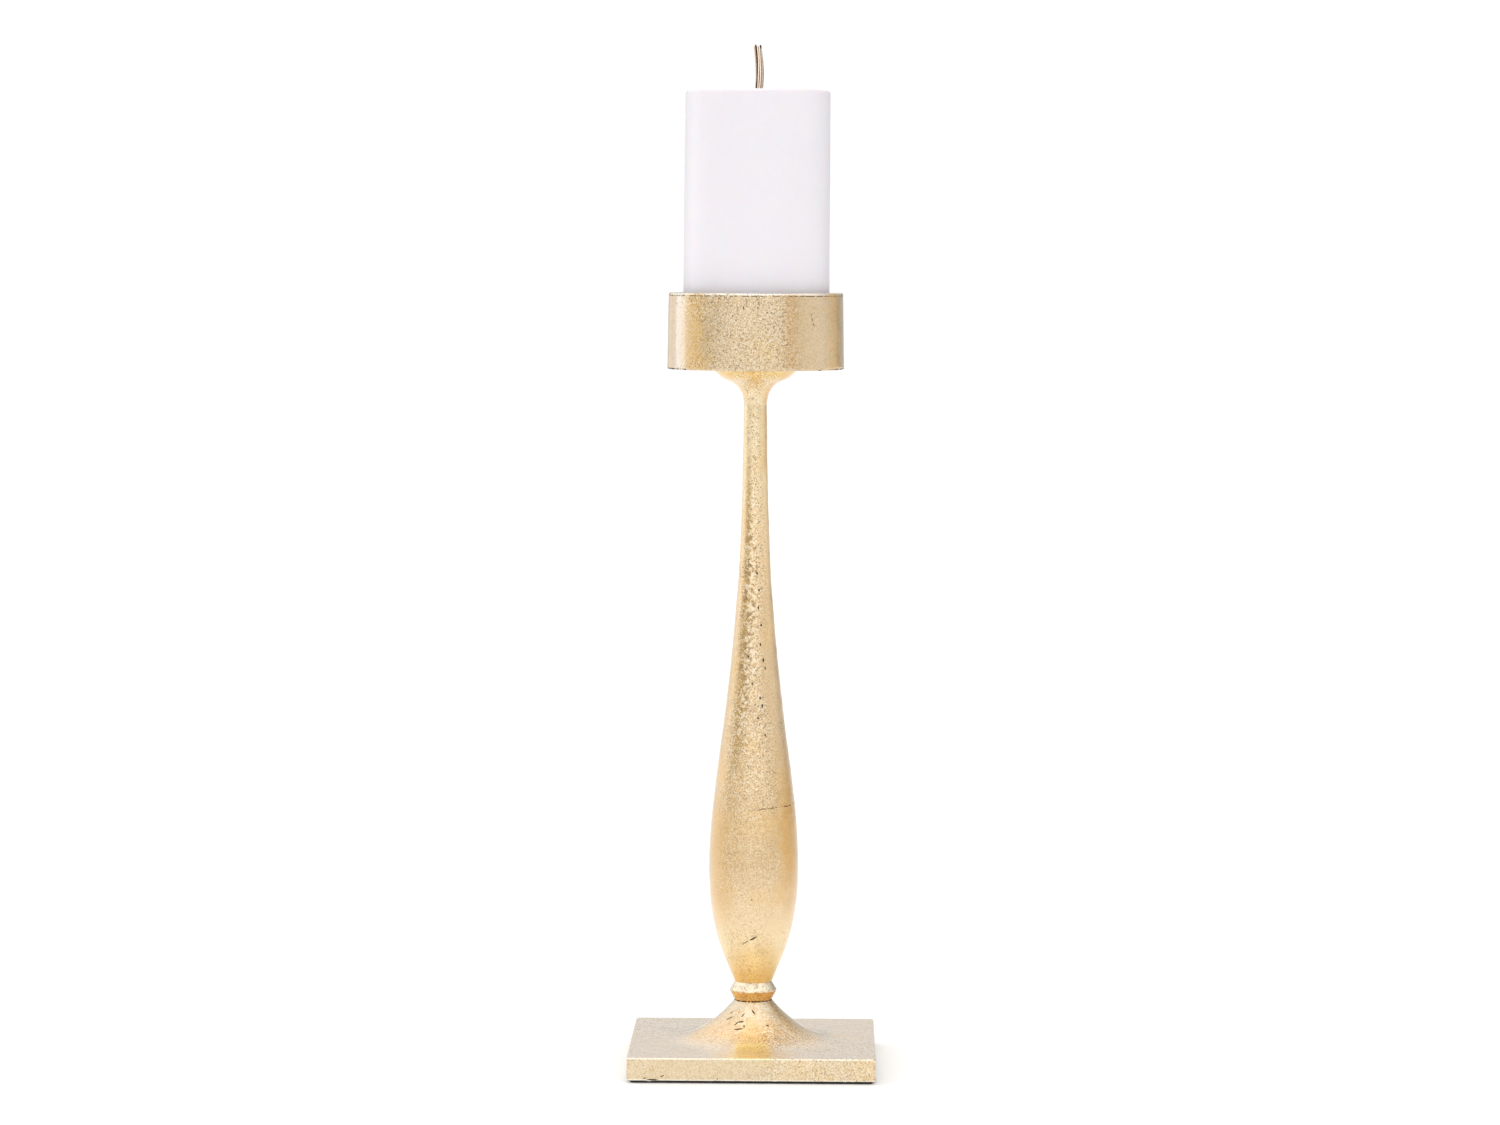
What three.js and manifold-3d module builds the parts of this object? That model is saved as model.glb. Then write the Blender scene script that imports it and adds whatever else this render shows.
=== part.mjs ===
// A baluster candlestick in leafed brass: square plate, flared foot, knop ring, baluster stem,
// trumpet neck and a drum-shaped candle cup, clamped together by one steel tie rod, with a
// pillar candle standing in the cup. Millimetres, +Z up. The origin is the centre of the
// underside, on the table.
import * as THREE from 'three';
import { mergeVertices } from 'three/addons/utils/BufferGeometryUtils.js';
import Module from 'manifold-3d';

const wasm = await Module();
wasm.setup();

// Heights of the joints in the stack, measured from the table.
const PAD_TOP = 1.2;
const PLATE_TOP = 12.75;
const FOOT_TOP = 33.2;
const RING_TOP = 43.1;
const BALUSTER_TOP = 342;
const NECK_TOP = 360.6;
const CUP_TOP = 400;
const WICK_TOP = 527;

// Square plate, felt pad and the foot that rises from the plate.
const PLATE_SIDE = 126.5;
const PLATE_CORNER_R = 1.8;
const PLATE_CHAMFER = 0.6;
const PAD_SIDE = 123.5;
const FOOT_SPREAD_R = 45;
const FOOT_NECK_R = 9.7;
const FOOT_STEPS = 9;

// Knop ring: two cones back to back with a blunt edge.
const RING_EDGE_R = 12.2;
const RING_EDGE_Z = 38.4;
const RING_END_R = 9.6;

// Baluster: [radius, height] where the outline turns, joined by a smooth curve.
const BALUSTER_OUTLINE = [
  [9.7, RING_TOP], [14.2, 54], [18.8, 67], [21.9, 82], [23.15, 101], [22.4, 121], [20.2, 145],
  [16.1, 175], [12.3, 208], [9.4, 240], [7.6, 269], [6.5, 304], [5.8, BALUSTER_TOP],
];
const BALUSTER_STEPS = 27;
const BALUSTER_WALL = 5;
const CORE_BOTTOM = 56;

// Trumpet neck between the stem and the cup.
const NECK_OUTLINE = [
  [5.8, BALUSTER_TOP], [6.3, 345.5], [7.4, 349], [10.7, 353], [17.1, 356.2], [21.6, 360],
];
const NECK_STEPS = 12;

// Candle cup: a drum that is a little wider at its closed end.
const CUP_BOTTOM_R = 45.6;
const CUP_RIM_R = 44.9;
const CUP_INNER_R = 42.8;
const CUP_FLOOR = 3;
const CUP_EDGE_R = 0.9;

// Pillar candle and its wick.
const CANDLE_BOTTOM_R = 37.9;
const CANDLE_TOP_R = 37.4;
const CANDLE_HEIGHT = 140;
const CANDLE_EDGE_R = 1.6;
const WICK_R = 2.35;
const WICK_HOLE_R = 2.65;

// M6 tie rod, nut, washer and the countersunk screw through the cup's floor.
const ROD_R = 3;
const BORE_R = 3.3;
const ROD_BOTTOM = 2;
const ROD_TOP = 349;
const SCREW_BOTTOM = 349.6;
const SCREW_HEAD_TOP = 363.3;
const NUT_HEIGHT = 5;
const NUT_ACROSS_FLATS = 10;
const WASHER_R = 6;
const WASHER_HEIGHT = 1.6;
const POCKET_R = 9;
const POCKET_TOP = 9.2;

// Spigots that centre the ring on the foot and the baluster on the ring.
const SPIGOT_R = 6;
const SPIGOT_HEIGHT = 2;
const SPIGOT_GAP = 0.3;

const FINE = 64;
const ROUND = 40;
const SMALL = 24;

const LEAF = { color: 0xdcbb8b, roughness: 0.42, metalness: 1 };
const STEEL = { color: 0x9a9c9e, roughness: 0.4, metalness: 1 };
const FELT = { color: 0x17161a, roughness: 0.95, metalness: 0 };
const WAX = { color: 0xf3eff0, roughness: 0.5, metalness: 0 };
const COTTON = { color: 0xd9bf9c, roughness: 0.9, metalness: 0 };

// One closed skin: shared vertices merged, and the triangles that collapse on the axis left out.
function weld(geometry) {
  geometry.deleteAttribute('normal');
  geometry.deleteAttribute('uv');
  const merged = mergeVertices(geometry);
  const corners = merged.getIndex().array;
  const kept = [];
  for (let i = 0; i < corners.length; i += 3) {
    const [a, b, c] = corners.slice(i, i + 3);
    if (a !== b && b !== c && c !== a) kept.push(a, b, c);
  }
  merged.setIndex(kept);
  return merged;
}

function toManifold(geometry) {
  const vertProperties = new Float32Array(geometry.getAttribute('position').array);
  const triVerts = new Uint32Array(geometry.getIndex().array);
  return new wasm.Manifold(new wasm.Mesh({ numProp: 3, vertProperties, triVerts }));
}

function fromManifold(solid) {
  const { vertProperties, triVerts } = solid.getMesh();
  const geometry = new THREE.BufferGeometry();
  geometry.setAttribute('position', new THREE.BufferAttribute(vertProperties, 3));
  geometry.setIndex(new THREE.BufferAttribute(triVerts, 1));
  return geometry;
}

// Turns a closed outline of [radius, height] points round the Z axis. The outline runs up the
// outside, in along the top, down the inside and out along the bottom.
function turned(outline, segments = ROUND) {
  const loop = [...outline, outline[0]].map(([radius, height]) => new THREE.Vector2(radius, height));
  return weld(new THREE.LatheGeometry(loop, segments).rotateX(Math.PI / 2));
}

// Points along the smooth curve through an outline's stations.
function smooth(stations, steps) {
  const curve = new THREE.SplineCurve(stations.map(([radius, height]) => new THREE.Vector2(radius, height)));
  return curve.getSpacedPoints(steps).map((point) => [point.x, point.y]);
}

// Points of a round edge: a quarter circle about [radius, height], between two angles in quarters.
function roundEdge(centreR, centreZ, edgeR, startQuarter, endQuarter, steps = 3) {
  const points = [];
  for (let i = 0; i <= steps; i += 1) {
    const angle = (startQuarter + ((endQuarter - startQuarter) * i) / steps) * (Math.PI / 2);
    points.push([centreR + edgeR * Math.cos(angle), centreZ + edgeR * Math.sin(angle)]);
  }
  return points;
}

function roundedSquare(side, cornerR) {
  const straight = side / 2 - cornerR;
  const shape = new THREE.Shape();
  [[1, 1], [-1, 1], [-1, -1], [1, -1]].forEach(([x, y], quarter) => {
    const start = (quarter * Math.PI) / 2;
    shape.absarc(x * straight, y * straight, cornerR, start, start + Math.PI / 2, false);
  });
  return shape;
}

function plate() {
  const body = roundedSquare(PLATE_SIDE - 2 * PLATE_CHAMFER, PLATE_CORNER_R - PLATE_CHAMFER);
  const thickness = PLATE_TOP - PAD_TOP;
  const geometry = new THREE.ExtrudeGeometry(body, {
    depth: thickness - 2 * PLATE_CHAMFER,
    bevelSize: PLATE_CHAMFER,
    bevelThickness: PLATE_CHAMFER,
    bevelSegments: 1,
    curveSegments: 4,
  });
  return weld(geometry.translate(0, 0, PAD_TOP + PLATE_CHAMFER));
}

// The foot falls from the ring to the plate along a parabola that ends level with the plate.
function foot() {
  const rise = FOOT_TOP - PLATE_TOP;
  const spread = FOOT_SPREAD_R - FOOT_NECK_R;
  const sweep = [];
  for (let i = 0; i <= FOOT_STEPS; i += 1) {
    const share = i / FOOT_STEPS;
    sweep.push([FOOT_SPREAD_R - spread * share, PLATE_TOP + rise * share ** 2]);
  }
  const inside = PLATE_TOP - 1;
  const spigotTop = FOOT_TOP + SPIGOT_HEIGHT;
  return turned([
    [0, inside], [FOOT_SPREAD_R, inside], ...sweep,
    [SPIGOT_R, FOOT_TOP], [SPIGOT_R, spigotTop], [0, spigotTop],
  ], FINE);
}

function base() {
  const below = PAD_TOP - 1;
  const above = FOOT_TOP + SPIGOT_HEIGHT + 1;
  const bore = turned([[0, below], [BORE_R, below], [BORE_R, above], [0, above]], SMALL);
  const pocket = turned([[0, below], [POCKET_R, below], [POCKET_R, POCKET_TOP], [0, POCKET_TOP]]);
  const casting = toManifold(plate()).add(toManifold(foot()));
  return fromManifold(casting.subtract(toManifold(bore)).subtract(toManifold(pocket)));
}

function feltPad() {
  const outline = roundedSquare(PAD_SIDE, PLATE_CORNER_R);
  return weld(new THREE.ExtrudeGeometry(outline, { depth: PAD_TOP, bevelEnabled: false, curveSegments: 4 }));
}

function knopRing() {
  const socketR = SPIGOT_R + SPIGOT_GAP;
  const socketTop = FOOT_TOP + SPIGOT_HEIGHT + SPIGOT_GAP;
  const spigotTop = RING_TOP + SPIGOT_HEIGHT;
  const bluntR = RING_EDGE_R - 0.25;
  return turned([
    [RING_END_R, FOOT_TOP], [bluntR, RING_EDGE_Z - 0.9], [RING_EDGE_R, RING_EDGE_Z],
    [bluntR, RING_EDGE_Z + 0.9], [RING_END_R, RING_TOP],
    [SPIGOT_R, RING_TOP], [SPIGOT_R, spigotTop], [BORE_R, spigotTop],
    [BORE_R, socketTop], [socketR, socketTop], [socketR, FOOT_TOP],
  ]);
}

// The stem is cored: its wall keeps one thickness down to where only the rod's bore is left.
function baluster() {
  const outside = smooth(BALUSTER_OUTLINE, BALUSTER_STEPS);
  const cored = outside.filter(([radius, height]) => height > CORE_BOTTOM && radius - BALUSTER_WALL > BORE_R);
  const core = cored.map(([radius, height]) => [radius - BALUSTER_WALL, height]).reverse();
  const coreFloorR = core.at(-1)[0] - 2;
  const coreTop = core[0][1] + 6;
  const socketR = SPIGOT_R + SPIGOT_GAP;
  const socketTop = RING_TOP + SPIGOT_HEIGHT + SPIGOT_GAP;
  return turned([
    ...outside,
    [BORE_R, BALUSTER_TOP], [BORE_R, coreTop], ...core,
    [coreFloorR, CORE_BOTTOM], [BORE_R, CORE_BOTTOM],
    [BORE_R, socketTop], [socketR, socketTop], [socketR, RING_TOP],
  ]);
}

function neckFlare() {
  const outside = smooth(NECK_OUTLINE, NECK_STEPS);
  const lipR = outside.at(-1)[0];
  return turned([...outside, [lipR, NECK_TOP], [BORE_R, NECK_TOP], [BORE_R, BALUSTER_TOP]]);
}

function candleCup() {
  const floorTop = NECK_TOP + CUP_FLOOR;
  const holeR = BORE_R + 0.1;
  return turned([
    [holeR, NECK_TOP],
    ...roundEdge(CUP_BOTTOM_R - CUP_EDGE_R, NECK_TOP + CUP_EDGE_R, CUP_EDGE_R, -1, 0),
    ...roundEdge(CUP_RIM_R - CUP_EDGE_R, CUP_TOP - CUP_EDGE_R, CUP_EDGE_R, 0, 1),
    [CUP_INNER_R + 0.5, CUP_TOP], [CUP_INNER_R, CUP_TOP - 0.5],
    [CUP_INNER_R, floorTop], [holeR + CUP_FLOOR, floorTop],
  ], FINE);
}

// 90 degree countersunk head, its top a little under the cup's floor.
function cupScrew() {
  const headR = ROD_R + SCREW_HEAD_TOP - NECK_TOP;
  return turned([
    [0, SCREW_BOTTOM], [ROD_R, SCREW_BOTTOM], [ROD_R, NECK_TOP],
    [headR, SCREW_HEAD_TOP], [0, SCREW_HEAD_TOP],
  ], SMALL);
}

function tieRod() {
  return turned([[0, ROD_BOTTOM], [ROD_R, ROD_BOTTOM], [ROD_R, ROD_TOP], [0, ROD_TOP]], SMALL);
}

function washer() {
  const bottom = POCKET_TOP - WASHER_HEIGHT;
  return turned([[WASHER_R, bottom], [WASHER_R, POCKET_TOP], [BORE_R, POCKET_TOP], [BORE_R, bottom]], SMALL);
}

function nut() {
  const cornerR = NUT_ACROSS_FLATS / Math.sqrt(3);
  const outline = new THREE.Shape();
  for (let corner = 0; corner < 6; corner += 1) {
    const angle = (corner * Math.PI) / 3;
    const draw = corner === 0 ? 'moveTo' : 'lineTo';
    outline[draw](cornerR * Math.cos(angle), cornerR * Math.sin(angle));
  }
  outline.closePath();
  outline.holes.push(new THREE.Path().absarc(0, 0, BORE_R, 0, 2 * Math.PI, true));
  const geometry = new THREE.ExtrudeGeometry(outline, {
    depth: NUT_HEIGHT, bevelEnabled: false, curveSegments: SMALL / 2,
  });
  return weld(geometry.translate(0, 0, POCKET_TOP - WASHER_HEIGHT - NUT_HEIGHT));
}

function candle() {
  const bottom = NECK_TOP + CUP_FLOOR;
  const top = bottom + CANDLE_HEIGHT;
  return turned([
    [WICK_HOLE_R, bottom],
    ...roundEdge(CANDLE_BOTTOM_R - CANDLE_EDGE_R, bottom + CANDLE_EDGE_R, CANDLE_EDGE_R, -1, 0),
    ...roundEdge(CANDLE_TOP_R - CANDLE_EDGE_R, top - CANDLE_EDGE_R, CANDLE_EDGE_R, 0, 1),
    [WICK_HOLE_R, top],
  ], FINE);
}

function wick() {
  const bottom = NECK_TOP + CUP_FLOOR;
  return turned([[0, bottom], [WICK_R, bottom], [WICK_R, WICK_TOP], [0, WICK_TOP]], SMALL);
}

function piece(name, geometry, finish) {
  const mesh = new THREE.Mesh(geometry, new THREE.MeshStandardMaterial(finish));
  mesh.name = name;
  return mesh;
}

const holder = new THREE.Group();
holder.add(
  piece('felt_pad', feltPad(), FELT),
  piece('base', base(), LEAF),
  piece('knop_ring', knopRing(), LEAF),
  piece('baluster', baluster(), LEAF),
  piece('neck_flare', neckFlare(), LEAF),
  piece('candle_cup', candleCup(), LEAF),
  piece('tie_rod', tieRod(), STEEL),
  piece('base_nut', nut(), STEEL),
  piece('base_washer', washer(), STEEL),
  piece('cup_screw', cupScrew(), STEEL),
);

const pillar = new THREE.Group();
pillar.add(
  piece('candle', candle(), WAX),
  piece('wick', wick(), COTTON),
);

const candlestick = new THREE.Group();
candlestick.add(holder, pillar);

export default candlestick;
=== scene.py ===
import math

import bpy
import numpy as np
from mathutils import Matrix, Vector


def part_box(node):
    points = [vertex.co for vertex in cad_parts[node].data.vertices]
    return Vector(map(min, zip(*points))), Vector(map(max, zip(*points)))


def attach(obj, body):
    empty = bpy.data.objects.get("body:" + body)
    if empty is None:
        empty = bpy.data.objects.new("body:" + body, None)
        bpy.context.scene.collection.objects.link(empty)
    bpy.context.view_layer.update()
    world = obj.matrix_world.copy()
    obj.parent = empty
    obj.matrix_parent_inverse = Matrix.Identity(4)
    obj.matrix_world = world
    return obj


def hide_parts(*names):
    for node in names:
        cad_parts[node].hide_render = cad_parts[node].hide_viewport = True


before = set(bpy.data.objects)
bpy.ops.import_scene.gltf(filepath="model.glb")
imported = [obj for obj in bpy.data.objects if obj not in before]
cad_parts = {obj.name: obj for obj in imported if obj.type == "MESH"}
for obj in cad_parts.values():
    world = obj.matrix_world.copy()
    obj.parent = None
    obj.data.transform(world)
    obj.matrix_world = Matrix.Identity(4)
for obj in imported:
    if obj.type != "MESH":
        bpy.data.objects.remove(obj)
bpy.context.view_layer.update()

# Lengths in this script are millimetres in the row frame, and MM turns them into Blender's metres.
MM = 0.001


def low(node):
    """Height of a CAD node's lowest point."""
    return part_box(node)[0].z / MM


def high(node):
    """Height of a CAD node's highest point."""
    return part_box(node)[1].z / MM


def reach(node):
    """Largest distance of a CAD node from the stem's axis, along X."""
    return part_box(node)[1].x / MM


# Heights and radii that the frame gives.
PAD_TOP = high("felt_pad")
FOOT_TOP = low("knop_ring")
RING_TOP = low("baluster")
BALUSTER_TOP = high("baluster")
NECK_TOP = high("neck_flare")
CUP_TOP = high("candle_cup")
CANDLE_BOTTOM = low("candle")
CANDLE_TOP = high("candle")
WICK_TOP = high("wick")
PLATE_HALF = reach("base")
PAD_HALF = reach("felt_pad")
RING_EDGE_R = reach("knop_ring")
NECK_LIP_R = reach("neck_flare")
CUP_BOTTOM_R = reach("candle_cup")
CANDLE_BOTTOM_R = reach("candle")
BORE_R = 3.3
ROD_R = reach("tie_rod")
WASHER_R = reach("base_washer")

# Plate and foot, as in the CAD.
PLATE_TOP = 12.75
PLATE_CORNER_R = 1.8
PLATE_EDGE_R = 0.6
FOOT_SPREAD_R = 45.0
FOOT_NECK_R = 9.7
POCKET_R = 9.0
POCKET_TOP = 9.2
SPIGOT_R = 6.0
SPIGOT_HEIGHT = 2.0
SPIGOT_GAP = 0.3

# Ring, stem, neck, cup and candle, as in the CAD.
RING_EDGE_Z = 38.4
RING_END_R = 9.6
RING_BLUNT_R = 0.8
BALUSTER_OUTLINE = [
    (9.7, RING_TOP), (14.2, 54), (18.8, 67), (21.9, 82), (23.15, 101), (22.4, 121), (20.2, 145),
    (16.1, 175), (12.3, 208), (9.4, 240), (7.6, 269), (6.5, 304), (5.8, BALUSTER_TOP),
]
NECK_OUTLINE = [
    (5.8, BALUSTER_TOP), (6.3, 345.5), (7.4, 349), (10.7, 353), (17.1, 356.2), (NECK_LIP_R, 360),
]
CUP_RIM_R = 44.9
CUP_INNER_R = 42.8
CUP_FLOOR = 3.0
CUP_EDGE_R = 0.9
CANDLE_TOP_R = 37.4
CANDLE_EDGE_R = 1.6
WICK_R = 2.3

# The camera, at the height and distance that give this perspective, and its small tilts in degrees.
LENS = 112.8
SENSOR = 36.0
CAMERA_DISTANCE = 2.4237
CAMERA_HEIGHT = 0.4221
CAMERA_AZIMUTH = 0.86
CAMERA_PITCH = 3.81
CAMERA_PAN = -0.06
CAMERA_ROLL = 0.225


# ---------------------------------------------------------------- meshes

def smooth(stations, spacing):
    """Points every spacing along the Catmull-Rom curve through an outline's stations."""
    knots = np.array([stations[0], *stations, stations[-1]], float)
    share = np.linspace(0, 1, 40, endpoint=False)[:, None]
    fine = []
    for a, b, c, d in zip(knots, knots[1:], knots[2:], knots[3:]):
        fine.append(b + share * (c - a) / 2 + share**2 * (2 * a - 5 * b + 4 * c - d) / 2
                    + share**3 * (3 * b - a - 3 * c + d) / 2)
    fine = np.vstack([*fine, knots[-1:]])
    walked = np.concatenate([[0], np.cumsum(np.linalg.norm(np.diff(fine, axis=0), axis=1))])
    even = np.linspace(0, walked[-1], max(2, round(walked[-1] / spacing) + 1))
    return np.column_stack([np.interp(even, walked, fine[:, k]) for k in (0, 1)])


def straight(start, end, spacing):
    """Points every spacing on a straight stretch of an outline, both ends included."""
    start, end = np.array(start, float), np.array(end, float)
    steps = max(1, round(np.linalg.norm(end - start) / spacing))
    return start + np.linspace(0, 1, steps + 1)[:, None] * (end - start)


def arc(centre, radius, start_deg, end_deg, steps=6):
    """Points on a round edge of an outline, about its centre of (radius, height)."""
    angle = np.radians(np.linspace(start_deg, end_deg, steps + 1))
    return np.column_stack([centre[0] + radius * np.cos(angle), centre[1] + radius * np.sin(angle)])


def outline(*stretches):
    """Joins stretches of (points, relief weight), leaving out points that repeat the one before."""
    points = np.vstack([p for p, _ in stretches])
    weights = np.concatenate([np.full(len(p), w, float) for p, w in stretches])
    keep = np.ones(len(points), bool)
    keep[1:] = np.linalg.norm(np.diff(points, axis=0), axis=1) > 1e-4
    keep[-1] &= np.linalg.norm(points[-1] - points[0]) > 1e-4
    return points[keep], weights[keep]


def skin(name, rings, closed):
    """A mesh through rings of points, [ring, point, xyz]. A closed skin joins its last ring to its
    first; an open one is closed at each end by a fan to the middle of the ring."""
    count, around = rings.shape[:2]
    vertices = rings.reshape(-1, 3)
    here = np.arange(count * around).reshape(count, around)
    beside = np.roll(here, -1, axis=1)
    quads = np.stack([here[:-1], beside[:-1], beside[1:], here[1:]], axis=-1).reshape(-1, 4)
    faces = quads.tolist()
    if closed:
        faces += np.stack([here[-1], beside[-1], beside[0], here[0]], axis=-1).tolist()
    else:
        first, last = len(vertices), len(vertices) + 1
        vertices = np.vstack([vertices, rings[0].mean(0), rings[-1].mean(0)])
        faces += np.stack([np.full(around, first), beside[0], here[0]], axis=-1).tolist()
        faces += np.stack([np.full(around, last), here[-1], beside[-1]], axis=-1).tolist()
    mesh = bpy.data.meshes.new(name)
    mesh.from_pydata((vertices * MM).tolist(), [], faces)
    mesh.update()
    piece = bpy.data.objects.new(name, mesh)
    bpy.context.scene.collection.objects.link(piece)
    return piece


def round_axis(rings, around):
    """Points of rings of (radius, height) round the Z axis. A radius may change round its ring."""
    angle = np.linspace(0, 2 * math.pi, around, endpoint=False)
    radii = np.array([np.broadcast_to(radius, around) for radius, _ in rings])
    heights = np.array([np.full(around, height) for _, height in rings])
    return np.stack([radii * np.cos(angle), radii * np.sin(angle), heights], axis=-1)


def ripple(points, wavelength, seed, waves=20):
    """A smooth random field over points, with a spread of about 1."""
    rng = np.random.default_rng(seed)
    direction = rng.normal(size=(waves, 3))
    direction /= np.linalg.norm(direction, axis=1)[:, None]
    direction *= 2 * math.pi / wavelength * rng.uniform(0.7, 1.3, (waves, 1))
    phase = rng.uniform(0, 2 * math.pi, waves)
    return np.sin(points @ direction.T + phase).sum(1) * math.sqrt(2 / waves)


def emboss(piece, weights, around, relief):
    """Moves each vertex along its normal by relief(points) in millimetres, times its ring's weight."""
    mesh = piece.data
    count = len(mesh.vertices)
    points = np.empty(count * 3)
    mesh.vertices.foreach_get("co", points)
    normals = np.empty(count * 3)
    mesh.vertex_normals.foreach_get("vector", normals)
    points, normals = points.reshape(-1, 3), normals.reshape(-1, 3)
    weight = np.zeros(count)
    weight[:len(weights) * around] = np.repeat(weights, around)
    points += normals * (weight * relief(points / MM))[:, None] * MM
    mesh.vertices.foreach_set("co", points.ravel())
    mesh.update()


def finish_mesh(piece, sharp_deg=40):
    """Smooth shading, broken only where two faces meet at a real corner."""
    piece.data.polygons.foreach_set("use_smooth", [True] * len(piece.data.polygons))
    piece.data.set_sharp_from_angle(angle=math.radians(sharp_deg))


def turned(name, profile, around, relief, shape=None):
    """Turns a profile of (outline points, relief weights) round the Z axis and gives it its relief.
    shape is a function that changes the piece afterwards."""
    points, weights = profile
    piece = skin(name, round_axis(points, around), closed=True)
    emboss(piece, weights, around, relief)
    if shape:
        shape(piece)
    finish_mesh(piece)
    return piece


def place(piece, node, body, material):
    """Puts a finished piece in a CAD node's place, on its body."""
    piece.data.materials.append(material)
    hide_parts(node)
    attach(piece, body)
    return piece


# ---------------------------------------------------------------- shader graphs

class Graph:
    """Adds and links the nodes of one material. Places are in millimetres in the row frame."""

    def __init__(self, name):
        self.material = bpy.data.materials.new(name)
        self.material.use_nodes = True
        self.tree = self.material.node_tree
        self.shader = self.tree.nodes["Principled BSDF"]
        metres = self.node("ShaderNodeTexCoord").outputs["Object"]
        self.place = self.vector("SCALE", metres, Scale=1 / MM)

    def node(self, kind, **settings):
        made = self.tree.nodes.new(kind)
        for name, value in settings.items():
            setattr(made, name, value)
        return made

    def put(self, socket, value):
        """Links a socket to another's output, or sets it to a number or a colour."""
        if isinstance(value, bpy.types.NodeSocket):
            self.tree.links.new(value, socket)
        else:
            socket.default_value = value

    def math(self, operation, *values, clamp=False):
        made = self.node("ShaderNodeMath", operation=operation, use_clamp=clamp)
        for socket, value in zip(made.inputs, values):
            self.put(socket, value)
        return made.outputs[0]

    def chain(self, operation, first, *others):
        """Works through any number of values, two at a time."""
        for other in others:
            first = self.math(operation, first, other)
        return first

    def times(self, *values):
        return self.chain("MULTIPLY", *values)

    def plus(self, *values):
        return self.chain("ADD", *values)

    def minus(self, *values):
        return self.chain("SUBTRACT", *values)

    def vector(self, operation, *values, **named):
        made = self.node("ShaderNodeVectorMath", operation=operation)
        for socket, value in zip(made.inputs, values):
            self.put(socket, value)
        for name, value in named.items():
            self.put(made.inputs[name], value)
        plain = ("DOT_PRODUCT", "LENGTH", "DISTANCE")
        return made.outputs["Value" if operation in plain else "Vector"]

    def noise(self, size, detail=2.0, roughness=0.5, distortion=0.0, at=None):
        """Noise with features of about size millimetres."""
        made = self.node("ShaderNodeTexNoise")
        self.put(made.inputs["Vector"], self.place if at is None else at)
        made.inputs["Scale"].default_value = 1 / size
        made.inputs["Detail"].default_value = detail
        made.inputs["Roughness"].default_value = roughness
        made.inputs["Distortion"].default_value = distortion
        return made.outputs[0]

    def cells(self, size, feature="F1", output="Distance", at=None):
        """Irregular cells of about size millimetres."""
        made = self.node("ShaderNodeTexVoronoi", feature=feature)
        self.put(made.inputs["Vector"], self.place if at is None else at)
        made.inputs["Scale"].default_value = 1 / size
        return made.outputs[output]

    def ramp(self, value, start, end, low=0.0, high=1.0):
        """A smooth step from low, where value is start, to high, where it is end."""
        made = self.node("ShaderNodeMapRange", interpolation_type="SMOOTHSTEP")
        self.put(made.inputs["Value"], value)
        for name, number in (("From Min", start), ("From Max", end), ("To Min", low), ("To Max", high)):
            self.put(made.inputs[name], number)
        return made.outputs["Result"]

    def share(self, value, start, end):
        """How far value is from start, where this is 0, to end, where it is 1."""
        made = self.node("ShaderNodeMapRange")
        for name, number in (("Value", value), ("From Min", start), ("From Max", end)):
            self.put(made.inputs[name], number)
        return made.outputs["Result"]

    def mix(self, share, first, second):
        """Mixes two colours."""
        made = self.node("ShaderNodeMix", data_type="RGBA")
        self.put(made.inputs["Factor"], share)
        for socket, value in ((made.inputs[6], first), (made.inputs[7], second)):
            self.put(socket, value if isinstance(value, bpy.types.NodeSocket) else (*value, 1.0))
        return made.outputs[2]

    def bands(self, value, stops):
        """A colour that changes evenly through (value, colour) stops."""
        bottom, top = stops[0][0], stops[-1][0]
        made = self.node("ShaderNodeValToRGB")
        self.put(made.inputs[0], self.math("DIVIDE", self.minus(value, bottom), top - bottom))
        elements = made.color_ramp.elements
        while len(elements) < len(stops):
            elements.new(0.5)
        for element, (at, colour) in zip(elements, stops):
            element.position = (at - bottom) / (top - bottom)
            element.color = (*colour, 1.0)
        return made.outputs[0]

    def axes(self):
        """The X, Y and Z of the place being shaded."""
        made = self.node("ShaderNodeSeparateXYZ")
        self.put(made.inputs[0], self.place)
        return made.outputs

    def turn(self):
        """The angle round the object's axis: 0 at the front, positive to the right."""
        x, y, _ = self.axes()
        return self.math("ARCTAN2", x, self.times(y, -1.0))

    def bump(self, height, depth, strength):
        """A normal bent by a height field, whose 0 to 1 stands for depth millimetres."""
        made = self.node("ShaderNodeBump")
        made.inputs["Strength"].default_value = strength
        made.inputs["Distance"].default_value = depth * MM
        self.put(made.inputs["Height"], height)
        return made.outputs["Normal"]

    def finish(self, **inputs):
        """Sets the Principled shader's inputs by name."""
        for name, value in inputs.items():
            self.put(self.shader.inputs[name.replace("_", " ").title().replace("Ior", "IOR")], value)
        return self.material


class RoomGraph(Graph):
    """The same for the light of a room, where places are directions."""

    def __init__(self, world):
        world.use_nodes = True
        self.tree = world.node_tree
        self.place = self.node("ShaderNodeTexCoord").outputs["Generated"]


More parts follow.
